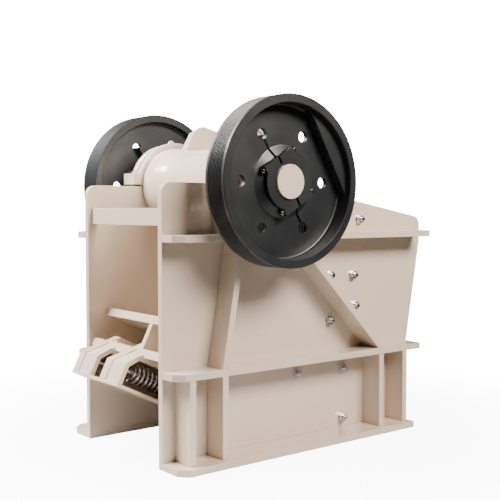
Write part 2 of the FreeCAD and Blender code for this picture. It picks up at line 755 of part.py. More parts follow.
def springs():
    """Two coil springs between the rods' collars and the housings' front walls."""
    coils = []
    for side in SIDES:
        helix = doc.addObject("Part::Helix", f"coil_line_{side}")
        bind(helix, "Pitch", S.coil_pitch)
        bind(helix, "Height", S.coil_pitch * S.coil_turns)
        bind(helix, "Radius", S.coil_radius)
        ring = doc.addObject("Part::Circle", f"coil_wire_{side}")
        bind(ring, "Radius", S.wire_radius)
        ring.Placement = Placement(Vector(), Rotation(Vector(1, 0, 0), 90))
        bind(ring, ".Placement.Base.x", S.coil_radius)
        sweep = doc.addObject("Part::Sweep", f"coil_{side}")
        sweep.Sections = [ring]
        sweep.Spine = (helix, ["Edge1"])
        sweep.Solid = True
        sweep.Frenet = True
        sweep.Placement = Placement(Vector(), Rotation(Vector(0, 1, 0), 90))
        coils.append(place(sweep, spring_start() + S.wire_radius, rod_side(side), S.rod_up))
    tilted(group("springs", coils), "springs")


# ---------------------------------------------------------------- assembly

for side in SIDES:
    side_plate(side)
    upper_reach = S.nose_reach - S.upper_shelf_setback
    shelf(side, "upper_shelf", OUTER_HALF, SHELF_HALF, upper_reach, S.upper_shelf_z, S.plate)
    middle_reach = front_edge(S.middle_shelf_z + S.plate) - S.middle_shelf_setback
    shelf(side, "middle_shelf", OUTER_HALF, SHELF_HALF, middle_reach, S.middle_shelf_z, S.plate)
    shelf(side, "foot", S.inner_half, OUTER_HALF + S.foot_out, S.toe_reach - S.foot_setback, 0.0 * S.foot,
          S.foot)
    lower_ribs(side)
    brace(side, "rear_brace", S.rear_brace_low, S.rear_brace_high, S.plate)
    brace(side, "front_brace", S.front_brace_low, S.front_brace_high, S.front_brace_wide)
    bearing_base(side)
    bearing_cap(side)
    cheek_plates(side)
    spring_housing(side)
rear_cross_plate()
front_wall()
jaw_die("fixed_jaw_die", S.fixed_low_x, S.inner_half - S.cheek - S.die_margin, S.fixed_lean, S.fixed_length, -1)
spring_tray()
beam()
toggle()
tension_rods()
springs()
shaft()
wheel(-1, "drive_pulley", True)
wheel(1, "flywheel", False)
counterweight(-1, "pulley_counterweight")
counterweight(1, "flywheel_counterweight")
pitman()
jaw_die("swing_jaw_die", S.swing_low_x, PITMAN_HALF, -S.swing_lean, S.swing_length, 1)

doc.recompute()
faults = []
for item in doc.Objects:
    if "Invalid" in item.State or "Error" in item.State:
        faults.append(f"{item.Name}: {item.State}")
for item in finished:
    if item.Shape.isNull() or not item.Shape.isValid() or not item.Shape.Solids:
        faults.append(f"{item.Label}: bad shape")
if faults:
    raise RuntimeError("; ".join(faults))

os.makedirs("parts", exist_ok=True)
for item in finished:
    item.Shape.exportStep(f"parts/{item.Label}.step")
box_all = finished[0].Shape.BoundBox
for item in finished:
    box_all.add(item.Shape.BoundBox)
print(len(finished), "sub-parts", "box", [round(v, 1) for v in (
    box_all.XMin, box_all.XMax, box_all.YMin, box_all.YMax, box_all.ZMin, box_all.ZMax)])
print("volume m3", round(sum(item.Shape.Volume for item in finished) / 1e9, 4))
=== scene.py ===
# %% [markdown]
# # Jaw crusher: finish and detail
# A jaw crusher is a heavy box of welded plate with an eccentric shaft on top. Its frame, shaft and jaws are
# already made at their real size, so this lesson adds what the eye looks for: rounded plate edges,
# turned wheels, coil springs, bolts and paint. It starts by loading the finished construction.

# %% Load the construction
import json
import math
import bpy
from mathutils import Matrix, Vector


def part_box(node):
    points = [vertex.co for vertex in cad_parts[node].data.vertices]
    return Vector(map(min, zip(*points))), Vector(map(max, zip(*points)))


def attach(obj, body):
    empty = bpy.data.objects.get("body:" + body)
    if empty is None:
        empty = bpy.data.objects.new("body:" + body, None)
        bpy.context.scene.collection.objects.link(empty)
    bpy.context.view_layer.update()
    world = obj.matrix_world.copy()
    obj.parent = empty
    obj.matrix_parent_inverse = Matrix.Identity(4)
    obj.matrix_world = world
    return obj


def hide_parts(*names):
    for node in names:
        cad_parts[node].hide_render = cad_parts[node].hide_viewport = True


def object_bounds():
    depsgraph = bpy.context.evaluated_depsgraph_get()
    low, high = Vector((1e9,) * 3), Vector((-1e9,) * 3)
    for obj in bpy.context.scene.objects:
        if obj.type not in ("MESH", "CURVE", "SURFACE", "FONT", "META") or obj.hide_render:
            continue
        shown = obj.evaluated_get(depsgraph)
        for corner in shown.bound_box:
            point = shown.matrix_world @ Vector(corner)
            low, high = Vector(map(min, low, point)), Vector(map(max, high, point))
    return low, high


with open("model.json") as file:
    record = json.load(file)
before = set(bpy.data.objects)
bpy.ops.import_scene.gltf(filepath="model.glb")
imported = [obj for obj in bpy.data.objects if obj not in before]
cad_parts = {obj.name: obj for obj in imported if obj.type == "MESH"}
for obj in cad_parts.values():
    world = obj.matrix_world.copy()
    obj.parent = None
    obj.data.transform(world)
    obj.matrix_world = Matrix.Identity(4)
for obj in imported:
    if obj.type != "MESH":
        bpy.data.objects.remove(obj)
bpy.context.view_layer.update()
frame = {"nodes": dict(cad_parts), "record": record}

# %% [markdown]
# Every place is read from the construction, so that a changed size moves the details with it. The shaft's
# axis runs along Y; its X and Z are the middle of a wheel's box.

# %% Places that later cells share
NEAR, FAR = -1, 1
SIDE_WORD = {NEAR: "pulley_side", FAR: "flywheel_side"}
WHEEL = {NEAR: "drive_pulley", FAR: "flywheel"}

wheel_low, wheel_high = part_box("flywheel")
AXIS = Vector(((wheel_low.x + wheel_high.x) / 2, 0.0, (wheel_low.z + wheel_high.z) / 2)) \
    if hasattr(wheel_low, "x") else Vector(((wheel_low[0] + wheel_high[0]) / 2, 0.0,
                                            (wheel_low[2] + wheel_high[2]) / 2))
plate_low, plate_high = [Vector(corner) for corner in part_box("flywheel_side_plate")]
OUTER = plate_high.y
BODY_OF = {node: body for body, nodes in frame["record"]["behaviour"]["bodies"].items() for node in nodes}
SLOT_OF = {entry["node"]: entry["material_slot"] for entry in frame["record"]["subparts"]}
print("shaft axis", [round(v, 4) for v in AXIS], "outside of the side plates", round(OUTER, 3))

# %% [markdown]
# ## Shader maths
# A material in Blender is a graph of nodes. Written as Python expressions it stays readable: `Wire` wraps an
# output socket, and its operators add Math nodes. `Finish` makes every other node with one method.

# %% Wires and finishes
class Wire:
    """An output socket that can be added, multiplied and so on."""

    def __init__(self, finish, socket):
        self.finish = finish
        self.socket = socket

    def __add__(self, other):
        return self.finish.maths("ADD", self, other)

    def __sub__(self, other):
        return self.finish.maths("SUBTRACT", self, other)

    def __rsub__(self, other):
        return self.finish.maths("SUBTRACT", other, self)

    def __mul__(self, other):
        return self.finish.maths("MULTIPLY", self, other)

    __radd__ = __add__
    __rmul__ = __mul__


class Finish:
    """One material: its nodes are made by node(), and surface() fills the shader's sockets."""

    def __init__(self, name):
        self.material = bpy.data.materials.new(name)
        self.material.use_nodes = True
        self.tree = self.material.node_tree
        self.shader = self.tree.nodes["Principled BSDF"]

    def feed(self, socket, value):
        if isinstance(value, Wire):
            self.tree.links.new(value.socket, socket)
        else:
            socket.default_value = value

    def node(self, kind, settings=None, output=0, **sockets):
        item = self.tree.nodes.new(kind)
        for name, value in (settings or {}).items():
            setattr(item, name, value)
        for name, value in sockets.items():
            key = int(name[1:]) if name[0] == "i" and name[1:].isdigit() else name.replace("_", " ")
            self.feed(item.inputs[key], value)
        return Wire(self, item.outputs[output])

    def maths(self, operation, first, second):
        return self.node("ShaderNodeMath", {"operation": operation}, i0=first, i1=second)

    def place(self):
        return self.node("ShaderNodeTexCoord", output="Object")

    def noise(self, scale, detail=3.0, stretch=(1.0, 1.0, 1.0)):
        spot = self.node("ShaderNodeMapping", {}, Vector=self.place(), Scale=stretch)
        return self.node("ShaderNodeTexNoise", {}, Vector=spot, Scale=scale, Detail=detail)

    def steps(self, fac, low, high):
        """0 below low, 1 above high, smooth between."""
        return self.node("ShaderNodeMapRange", {"interpolation_type": "SMOOTHSTEP"}, Value=fac,
                         From_Min=low, From_Max=high)

    def mix(self, fac, first, second):
        return self.node("ShaderNodeMix", {"data_type": "RGBA"}, output=2, i0=fac, i6=first, i7=second)

    def bump(self, height, distance, strength=1.0):
        return self.node("ShaderNodeBump", {}, Height=height, Distance=distance, Strength=strength)

    def surface(self, **sockets):
        for name, value in sockets.items():
            self.feed(self.shader.inputs[name.replace("_", " ")], value)
        return self.material


print("shader helpers ready")

# %% [markdown]
# ## Paint
# The machine wears thick gloss paint over plate and castings. Gloss paint is not a flat colour: it has
# orange peel (a fine waviness), slightly duller patches, and a little settled dust low down. All of
# that is small, so it goes into colour, roughness and bump, not into the mesh.

# %% Gloss paint
def rgb(red, green, blue):
    return (red, green, blue, 1.0)


def gloss_paint(name, base, dusty, rough, coat, peel):
    """Sprayed gloss paint: slow colour drift, duller patches, orange peel and dust near the floor."""
    paint = Finish(name)
    drift = paint.steps(paint.noise(1.7, 2.0), 0.35, 0.7)
    patches = paint.steps(paint.noise(9.0, 4.0), 0.4, 0.65)
    height = paint.node("ShaderNodeSeparateXYZ", output="Z", Vector=paint.place())
    low_down = 1.0 - paint.steps(height, 0.0, 0.5)
    specks = paint.steps(paint.noise(140.0, 4.0), 0.5, 0.75)
    dust = low_down * specks * 0.16 + patches * 0.03
    shade = paint.mix(drift, base, [value * 0.975 for value in base[:3]] + [1.0])
    colour = paint.mix(dust, shade, dusty)
    waves = paint.noise(330.0, 2.0) * 0.7 + paint.noise(40.0, 2.0) * 0.3
    return paint.surface(
        Base_Color=colour, Roughness=rough + patches * 0.05 + dust * 0.2,
        Coat_Weight=coat, Coat_Roughness=0.045, Normal=paint.bump(waves, peel))


CREAM = gloss_paint("cream_paint", rgb(0.61, 0.495, 0.385), rgb(0.45, 0.36, 0.28), 0.17, 0.8, 0.00012)
SHAFT = gloss_paint("shaft_paint", rgb(0.60, 0.48, 0.37), rgb(0.45, 0.36, 0.28), 0.30, 0.3, 0.00012)
print("cream paint", len(CREAM.node_tree.nodes), "nodes")

# %% [markdown]
# The wheels are cast iron under charcoal paint. Sprayed castings keep the sand mould's fine grain, and a
# turned rim shows rings, so this paint gets a grain bump and a slightly rubbed look where noise is high.

# %% Charcoal paint on castings
def charcoal_paint():
    paint = Finish("charcoal_paint")
    grain = paint.noise(420.0, 3.0)
    cloud = paint.steps(paint.noise(3.5, 4.0), 0.38, 0.68)
    rubbed = paint.steps(paint.noise(38.0, 6.0), 0.63, 0.78)
    colour = paint.mix(cloud, rgb(0.0055, 0.0064, 0.0076), rgb(0.0078, 0.0088, 0.0100))
    colour = paint.mix(rubbed * 0.2, colour, rgb(0.020, 0.022, 0.025))
    return paint.surface(
        Base_Color=colour, Roughness=0.40 + cloud * 0.06 + rubbed * 0.05, Coat_Weight=0.15,
        Coat_Roughness=0.2, Normal=paint.bump(grain, 0.00004))


CHARCOAL = charcoal_paint()
print("charcoal paint", len(CHARCOAL.node_tree.nodes), "nodes")

# %% [markdown]
# Bare metals: the springs, bolts and rods are bright steel with fine drawn lines; the jaw dies are
# manganese steel castings, brown-grey, rough in the valleys and polished by stone on the crests.

# %% Bare metals
def bright_steel(name, tone, rough, stretch):
    steel = Finish(name)
    lines = steel.noise(900.0, 2.0, stretch)
    smudge = steel.steps(steel.noise(30.0, 4.0), 0.45, 0.7)
    colour = steel.mix(smudge, rgb(tone, tone, tone * 1.01), rgb(tone * 0.7, tone * 0.68, tone * 0.66))
    return steel.surface(
        Base_Color=colour, Metallic=1.0, Roughness=rough + smudge * 0.12 + lines * 0.05,
        Normal=steel.bump(lines, 0.0002))


def manganese_steel():
    steel = Finish("manganese_steel")
    sand = steel.noise(160.0, 5.0)
    pits = steel.steps(steel.noise(60.0, 6.0), 0.3, 0.42)
    bloom = steel.steps(steel.noise(6.0, 4.0), 0.4, 0.66)
    colour = steel.mix(bloom, rgb(0.17, 0.155, 0.14), rgb(0.26, 0.20, 0.15))
    return steel.surface(
        Base_Color=colour, Metallic=0.75 - bloom * 0.35, Roughness=0.42 + bloom * 0.2,
        Normal=steel.bump(sand * 0.5 + pits, 0.0012))


STEEL = bright_steel("bright_steel", 0.62, 0.14, (1.0, 1.0, 6.0))
DARK_STEEL = bright_steel("dark_steel", 0.17, 0.2, (4.0, 1.0, 1.0))
MANGANESE = manganese_steel()
FINISHES = {"cream_paint": CREAM, "shaft_paint": SHAFT, "charcoal_paint": CHARCOAL,
            "manganese_steel": MANGANESE, "bright_steel": STEEL}
print("finishes", sorted(FINISHES))

# %% [markdown]
# ## Working by hand, in code
# The next helpers are what a modeller's hands do: pick one object, run edit-mode steps, bevel, and hand
# the piece over to a body of the machine. A finished piece's object sits at the origin with its
# place in its mesh, so its pattern never slides.

# %% Hands
def pick(piece):
    """Only this object is selected and active."""
    bpy.ops.object.select_all(action="DESELECT")
    piece.hide_set(False)
    piece.select_set(True)
    bpy.context.view_layer.objects.active = piece
    return piece


def settle(piece):
    """Moves the object's place, turn and scale into its mesh."""
    pick(piece)
    bpy.ops.object.transform_apply(location=True, rotation=True, scale=True)
    return piece


def edit(piece, *steps, select="SELECT"):
    """Runs edit-mode steps on the piece, with everything selected to start with."""
    pick(piece)
    bpy.ops.object.mode_set(mode="EDIT")
    bpy.ops.mesh.select_all(action=select)
    for step in steps:
        step()
    bpy.ops.object.mode_set(mode="OBJECT")
    return piece


def modify(piece, kind, **settings):
    """Adds a modifier, sets it and applies it."""
    pick(piece)
    modifier = piece.modifiers.new(kind.lower(), kind)
    for name, value in settings.items():
        setattr(modifier, name, value)
    bpy.ops.object.modifier_apply(modifier=modifier.name)
    return piece


def soften(piece, width, segments=2, smooth=35.0):
    """Rounds the sharp edges a little and smooths the shading between them."""
    if width:
        modify(piece, "BEVEL", width=width, segments=segments, limit_method="ANGLE",
               angle_limit=math.radians(28), use_clamp_overlap=True, harden_normals=False)
    pick(piece)
    bpy.ops.object.shade_smooth_by_angle(angle=math.radians(smooth))
    modify(piece, "WEIGHTED_NORMAL", mode="FACE_AREA", weight=60, keep_sharp=True)
    return piece


def hand_over(piece, name, material, body, slot, *nodes):
    """Names a finished piece, paints it and lets it ride on a body, in place of nodes if any are given."""
    piece.name = name
    piece.data.name = name
    piece.data.materials.clear()
    piece.data.materials.append(material)
    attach(piece, body)
    if nodes:
        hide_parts(*nodes)
    return piece


def join(pieces):
    """Joins several objects into the first."""
    pick(pieces[0])
    for piece in pieces[1:]:
        piece.select_set(True)
    bpy.ops.object.join()
    return pieces[0]


print("hands ready")

# %% [markdown]
# ## Plates and castings
# Flame-cut plate never has a knife edge: grinding and paint leave a radius of a few millimetres, and that
# radius is what catches the light. The construction's plates are right in shape, so each one is
# copied, its triangles are merged back into whole faces, and its edges are bevelled.

# %% Rounded plates
def merged_copy(node):
    """A copy of a node's mesh with its loose triangles joined into whole faces."""
    source = frame["nodes"][node]
    piece = bpy.data.objects.new(node + "_copy", source.data.copy())
    bpy.context.scene.collection.objects.link(piece)
    return edit(
        piece,
        lambda: bpy.ops.mesh.remove_doubles(threshold=0.00002),
        lambda: bpy.ops.mesh.dissolve_limited(angle_limit=math.radians(0.4)),
    )


def rounded(node, width, segments=2, smooth=35.0):
    piece = soften(merged_copy(node), width, segments, smooth)
    slot = SLOT_OF[node]
    return hand_over(piece, node + "_finished", FINISHES[slot], BODY_OF[node], slot, node)


PLATE_EDGE = 0.003
CASTING_EDGE = 0.006
plates = ["rear_cross_plate", "front_wall", "front_wall_ribs", "spring_tray", "beam_lower_plate",
          "beam_upper_plate", "beam_web", "beam_gusset", "toggle_seat", "toggle_plate"]
for word in SIDE_WORD.values():
    for part in ("plate", "upper_shelf", "middle_shelf", "foot", "lower_ribs", "rear_brace", "front_brace",
                 "cheek_plates"):
        plates.append(f"{word}_{part}")
for node in plates:
    rounded(node, PLATE_EDGE)
for word in SIDE_WORD.values():
    rounded(f"{word}_bearing_base", PLATE_EDGE, 2, 40.0)
for node in ("pulley_counterweight", "flywheel_counterweight"):
    rounded(node, CASTING_EDGE, 3)
rounded("pitman", CASTING_EDGE, 3, 40.0)
rounded("eccentric_shaft", PLATE_EDGE, 2)
for node in ("fixed_jaw_die", "swing_jaw_die"):
    rounded(node, CASTING_EDGE, 2)
rounded("tension_rods", 0.0015, 2)
print(len(plates), "plates rounded")

# %% [markdown]
# ## Outlines
# Turned and cut pieces start as an outline. A circle with as many corners as the outline, each corner moved
# to its place, is the quickest closed outline, and extrude or spin then makes it solid.

# %% Outline, slab and turned piece
def outline(corners):
    """A closed ring of edges through the corners, which are given as (x, y, z)."""
    bpy.ops.object.select_all(action="DESELECT")
    bpy.ops.mesh.primitive_circle_add(vertices=len(corners), radius=1.0, fill_type="NOTHING")
    ring = bpy.context.active_object
    for vertex, corner in zip(ring.data.vertices, corners):
        vertex.co = corner
    return ring


def slab(corners, depth):
    """A plate: the outline filled and pushed through by the vector depth."""
    piece = outline(corners)
    edit(
        piece,
        lambda: bpy.ops.mesh.edge_face_add(),
        lambda: bpy.ops.mesh.extrude_region_move(TRANSFORM_OT_translate={"value": depth}),
        lambda: bpy.ops.mesh.select_all(action="SELECT"),
        lambda: bpy.ops.mesh.normals_make_consistent(inside=False),
    )
    return piece


def turned(corners, steps, centre=AXIS):
    """The outline spun once round the Y axis through centre."""
    piece = outline(corners)
    edit(
        piece,
        lambda: bpy.ops.mesh.spin(steps=steps, angle=math.tau, center=centre, axis=(0, 1, 0)),
        lambda: bpy.ops.mesh.select_all(action="SELECT"),
        lambda: bpy.ops.mesh.remove_doubles(threshold=0.00002),
        lambda: bpy.ops.mesh.normals_make_consistent(inside=False),
    )
    return piece


def rod(radius, start, end, corners=32):
    """A round bar between two places."""
    start, end = Vector(start), Vector(end)
    bpy.ops.object.select_all(action="DESELECT")
    bpy.ops.mesh.primitive_cylinder_add(vertices=corners, radius=radius, depth=(end - start).length,
                                        location=(start + end) / 2)
    piece = bpy.context.active_object
    piece.rotation_mode = "QUATERNION"
    piece.rotation_quaternion = (end - start).to_track_quat("Z", "Y")
    return settle(piece)


def carve(piece, *tools):
    """Cuts the tools out of the piece and throws them away."""
    for tool in tools:
        modify(piece, "BOOLEAN", operation="DIFFERENCE", solver="EXACT", object=tool)
        bpy.data.objects.remove(tool)
    return piece


print("outline tools ready")

# %% [markdown]
# ## Wheels
# Both wheels are castings turned on a lathe: a heavy rim, a thin web with six holes, and a split hub that two
# pairs of bolts clamp to the shaft. One half section spun round the shaft makes the casting; the
# drive pulley's rim also has V-grooves for its belts. The hub's clamping lugs are a second solid.

# %% The wheel's section
RIM = 0.060
WEB_FACE = 0.088
WEB = 0.035
HUB_FROM = 0.013
HUB_LONG = 0.150
HUB_RADIUS = 0.200
HUB_CONE_RADIUS = 0.256
HUB_CONE_HIGH = 0.034
BORE = 0.1203
RIM_RADIUS = wheel_high[0] - AXIS.x
RIM_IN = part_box("flywheel")[0][1]
RIM_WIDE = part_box("flywheel")[1][1] - RIM_IN


def fillet(corner, first, second, radius, steps=5):
    """Points of an arc that rounds the corner between two square directions, both pointing away from it."""
    centre = (corner[0] + (first[0] + second[0]) * radius, corner[1] + (first[1] + second[1]) * radius)
    points = []
    for index in range(steps + 1):
        turn = math.pi / 2 * index / steps
        points.append((centre[0] - radius * (second[0] * math.cos(turn) + first[0] * math.sin(turn)),
                       centre[1] - radius * (second[1] * math.cos(turn) + first[1] * math.sin(turn))))
    return points


def rim_surface(grooves):
    """The rim's outside from its outboard to its inboard edge, as (across, radius)."""
    edge = 0.004
    points = [(RIM_WIDE, RIM_RADIUS - edge), (RIM_WIDE - edge, RIM_RADIUS)]
    land, deep = 0.028, 0.010
    pitch = (RIM_WIDE - 2 * land) / max(grooves, 1)
    for index in range(grooves):
        left = RIM_WIDE - land - index * pitch
        for share, sink in ((0.12, 0.0), (0.40, deep), (0.60, deep), (0.88, 0.0)):
            points.append((left - share * pitch, RIM_RADIUS - sink))
    return points + [(edge, RIM_RADIUS), (0.0, RIM_RADIUS - edge)]


def wheel_section(grooves):
    """The closed half section, as (across, radius), across counted from the rim's inboard edge."""
    inner = RIM_RADIUS - RIM
    web_in = WEB_FACE - WEB
    points = [(WEB_FACE + HUB_CONE_HIGH, BORE), (WEB_FACE + HUB_CONE_HIGH, HUB_RADIUS),
              (WEB_FACE + 0.004, HUB_CONE_RADIUS - 0.004), (WEB_FACE, HUB_CONE_RADIUS + 0.004)]
    points += fillet((WEB_FACE, inner), (0, -1), (1, 0), 0.014)
    points += [(RIM_WIDE - 0.004, inner), (RIM_WIDE, inner + 0.004)]
    points += rim_surface(grooves)
    points += [(0.0, inner + 0.004), (0.004, inner)]
    points += fillet((web_in, inner), (-1, 0), (0, -1), 0.014)
    points += fillet((web_in, HUB_RADIUS), (0, 1), (-1, 0), 0.020)
    points += [(HUB_FROM + 0.004, HUB_RADIUS), (HUB_FROM, HUB_RADIUS - 0.004), (HUB_FROM, BORE)]
    return points


print("section corners", len(wheel_section(6)))

# %% [markdown]
# The hub's outer end is a round boss with two square clamping lugs. It is drawn in the hub's own directions:
# s runs along the split, p across it.

# %% Hub and wheel
SPLIT_TURN = math.radians(120)
LUG_HALF, LUG_END = 0.142, 0.194
SPLIT_HALF = 0.010
HOLE_RING, HOLE_RADIUS = 0.371, 0.040
BELT_GROOVES = 10


def hub_place(across, along, out):
    """A place from p (across the split), s (along it) and the distance along Y."""
    x = along * math.cos(SPLIT_TURN) + across * math.sin(SPLIT_TURN)
    z = along * math.sin(SPLIT_TURN) - across * math.cos(SPLIT_TURN)
    return Vector((AXIS.x + x, out, AXIS.z + z))


def hub_outline():
    """Corners (p, s) of the boss with its lugs."""
    meet = math.atan2(math.sqrt(HUB_RADIUS ** 2 - LUG_HALF ** 2), LUG_HALF)
    corners = []
    for sign in (1, -1):
        corners += [(sign * LUG_HALF, -sign * LUG_END)]
        for index in range(17):
            turn = -meet + 2 * meet * index / 16
            corners.append((sign * HUB_RADIUS * math.cos(turn), sign * HUB_RADIUS * math.sin(turn)))
        corners += [(sign * LUG_HALF, sign * LUG_END)]
    return corners


def make_wheel(side):
    """The whole wheel of one side, with its holes and its split."""
    def out(across):
        return side * (RIM_IN + across)

    grooves = BELT_GROOVES if side == NEAR else 0
    section = [Vector((AXIS.x, out(across), AXIS.z + radius)) for across, radius in wheel_section(grooves)]
    wheel = turned(section, 128)
    hub_end = out(HUB_FROM + HUB_LONG)
    lugs = slab([hub_place(p, s, out(WEB_FACE + 0.02)) for p, s in hub_outline()],
                Vector((0, hub_end - out(WEB_FACE + 0.02), 0)))
    carve(lugs, rod(BORE, (AXIS.x, out(0), AXIS.z), (AXIS.x, out(RIM_WIDE), AXIS.z), 96))
    modify(wheel, "BOOLEAN", operation="UNION", solver="EXACT", object=lugs)
    bpy.data.objects.remove(lugs)
    tools = []
    for index in range(6):
        turn = math.tau * index / 6
        spot = (AXIS.x + HOLE_RING * math.cos(turn), AXIS.z + HOLE_RING * math.sin(turn))
        tools.append(rod(HOLE_RADIUS, (spot[0], out(0), spot[1]), (spot[0], out(RIM_WIDE), spot[1]), 40))
    for sign in (1, -1):
        corners = [hub_place(p, s * sign, out(0)) for p, s in (
            (-SPLIT_HALF, BORE - 0.01), (SPLIT_HALF, BORE - 0.01), (SPLIT_HALF, HOLE_RING), (-SPLIT_HALF, HOLE_RING))]
        tools.append(slab(corners, Vector((0, out(RIM_WIDE) - out(0), 0))))
    carve(wheel, *tools)
    soften(wheel, 0.0025, 2, 32.0)
    return hand_over(wheel, WHEEL[side] + "_turned", CHARCOAL, "rotor", "charcoal_paint", WHEEL[side])


for side in (NEAR, FAR):
    wheel = make_wheel(side)
    print(wheel.name, len(wheel.data.polygons), "faces")

# %% [markdown]
# Four clamping bolts pull each split hub together. Their domed heads sit against the lugs' sides.

# %% Clamping bolts
def dome_head(radius, height, place, direction):
    """A domed bolt head standing on place, pointing along direction."""
    bpy.ops.object.select_all(action="DESELECT")
    bpy.ops.mesh.primitive_uv_sphere_add(segments=24, ring_count=12, radius=radius, location=(0, 0, 0))
    head = bpy.context.active_object
    edit(head, lambda: bpy.ops.mesh.bisect(plane_co=(0, 0, 0), plane_no=(0, 0, 1), clear_inner=True, use_fill=True))
    head.scale = (1, 1, height / radius)
    head.rotation_mode = "QUATERNION"
    head.rotation_quaternion = Vector(direction).to_track_quat("Z", "Y")
    head.location = place
    return settle(head)


def clamping_bolts(side):
    heads = []
    level = side * (RIM_IN + HUB_FROM + HUB_LONG - 0.036)
    for s in (-0.165, 0.165):
        for sign in (1, -1):
            direction = hub_place(sign, 0, 0) - hub_place(0, 0, 0)
            start = hub_place(sign * (LUG_HALF - 0.004), s, level)
            heads.append(soften(rod(0.027, start, start + direction * 0.008, 32), 0.001))
            if sign > 0:
                heads.append(soften(rod(0.026, start + direction * 0.008, start + direction * 0.034, 6), 0.0015))
                heads.append(soften(rod(0.014, start + direction * 0.03, start + direction * 0.044, 24), 0.002))
            else:
                heads.append(dome_head(0.025, 0.024, start + direction * 0.007, direction))
    piece = join(heads)
    pick(piece)
    bpy.ops.object.shade_smooth_by_angle(angle=math.radians(40))
    return hand_over(piece, WHEEL[side] + "_clamping_bolts", DARK_STEEL, "rotor", "bright_steel")


for side in (NEAR, FAR):
    clamping_bolts(side)
print("clamping bolts on both hubs")

# %% [markdown]
# ## Plate bolts
# The cheek plates inside are held by studs through the side plates, with a washer and a nut outside. A nut
# is a six-sided cylinder with its corners turned off: a cone cut from each end does that, here made
# by intersecting the hexagon with a squat sphere.

# %% Studs, nuts and washers
STUD = 0.018
NUT_FLATS = 0.055
NUT_HIGH = 0.030
STUD_OUT = 0.056
BOLT_PLACES = [(1.045, 1.695), (0.975, 1.253), (0.725, 1.261), (0.994, 1.008), (0.722, 0.909),
               (0.383, 0.535), (0.859, 0.524), (0.862, 0.127)]


def nut_set(place, direction):
    """Washer, nut and stud end on a plate's face."""
    direction = Vector(direction)
    washer = soften(rod(0.034, place, place + direction * 0.006, 40), 0.0012)
    nut = rod(NUT_FLATS / math.sqrt(3), place + direction * 0.006, place + direction * (0.006 + NUT_HIGH), 6)
    middle = place + direction * (0.006 + NUT_HIGH / 2)
    bpy.ops.object.select_all(action="DESELECT")
    bpy.ops.mesh.primitive_uv_sphere_add(segments=48, ring_count=24, radius=0.0352, location=middle)
    ball = bpy.context.active_object
    settle(ball)
    modify(nut, "BOOLEAN", operation="INTERSECT", solver="EXACT", object=ball)
    bpy.data.objects.remove(ball)
    stud = soften(rod(STUD, place + direction * 0.006, place + direction * STUD_OUT, 32), 0.004, 3)
    return [washer, nut, stud]


pattern = join(nut_set(Vector((0, 0, 0)), (0, -1, 0)))
pick(pattern)
bpy.ops.object.shade_smooth_by_angle(angle=math.radians(30))
for side in (NEAR, FAR):
    copies = []
    for x, z in BOLT_PLACES:
        copy = bpy.data.objects.new("plate_bolt", pattern.data.copy())
        bpy.context.scene.collection.objects.link(copy)
        copy.rotation_euler = (0, 0, 0 if side == NEAR else math.pi)
        copy.location = (AXIS.x + x, side * OUTER, z)
        copies.append(settle(copy))
    bolts = join(copies)
    hand_over(bolts, SIDE_WORD[side] + "_plate_bolts", STEEL, "frame", "bright_steel")
bpy.data.objects.remove(pattern)
print(len(BOLT_PLACES), "plate bolts a side")

# %% [markdown]
# ## Toggle and spring end
# This end slopes down to the front by 26 degrees, so its pieces are drawn level and then placed with one
# matrix. The first number of a place runs along the slope, the third stands square to it.

# %% The slope's matrix
SLOPE = math.radians(26)
SLOPE_START = Vector((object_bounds()[0][0], 0.0, 0.570))
SLOPE_MATRIX = Matrix.Translation(SLOPE_START) @ Matrix.Rotation(SLOPE, 4, "Y")
HOUSE_MIDDLE, HOUSE_WIDE, HOUSE_END = 0.202, 0.265, 0.028


def lay_on_slope(piece):
    settle(piece)
    piece.matrix_world = SLOPE_MATRIX
    return settle(piece)


def rod_side(side):
    """Y of a tension rod, in the middle of its housing's hollow."""
    return side * HOUSE_MIDDLE - HOUSE_END / 2


print("slope starts at", [round(v, 4) for v in SLOPE_START])

# %% [markdown]
# A spring is one wire: a small circle swept along a screw. The Screw modifier does both at once, and the wire's
# two open ends are then filled. The ends of a real compression spring are ground flat, which the
# rods' collars and the housings hide.

# %% Coil springs
def coil(radius, wire, pitch, turns):
    bpy.ops.object.select_all(action="DESELECT")
    bpy.ops.mesh.primitive_circle_add(vertices=14, radius=wire, fill_type="NOTHING", location=(radius, 0, 0),
                                      rotation=(math.pi / 2, 0, 0))
    piece = settle(bpy.context.active_object)
    modify(piece, "SCREW", axis="Z", angle=math.tau * turns, screw_offset=pitch * turns,
           steps=44 * turns, render_steps=44 * turns)
    edit(
        piece,
        lambda: bpy.ops.mesh.remove_doubles(threshold=0.00001),
        lambda: bpy.ops.mesh.select_all(action="DESELECT"),
        lambda: bpy.ops.mesh.select_non_manifold(extend=False),
        lambda: bpy.ops.mesh.edge_face_add(),
        lambda: bpy.ops.mesh.select_all(action="SELECT"),
        lambda: bpy.ops.mesh.normals_make_consistent(inside=False),
    )
    return piece


COIL_RADIUS, WIRE, COIL_PITCH, COIL_TURNS = 0.064, 0.010, 0.038, 9
COIL_START = 0.520 - 0.032 - COIL_PITCH * COIL_TURNS - WIRE - 0.0003
coils = []
for side in (NEAR, FAR):
    spring = coil(COIL_RADIUS, WIRE, COIL_PITCH, COIL_TURNS)
    spring.rotation_euler = (0, math.pi / 2, 0)
    spring.location = (COIL_START, rod_side(side), 0.135)
    coils.append(lay_on_slope(spring))
springs = join(coils)
pick(springs)
bpy.ops.object.shade_smooth()
hand_over(springs, "coil_springs", STEEL, "frame", "bright_steel", "springs")
print("springs", len(springs.data.polygons), "faces")

# %% [markdown]
# Each spring sits in a fabricated housing: a cut flange on its open side, a folded shell, and a taller arch
# that passes through the beam's lower plate, joined to the shell by a hollow cove. The shell is a
# grid: each row of it is one slice across the housing, and each slice follows the outline.

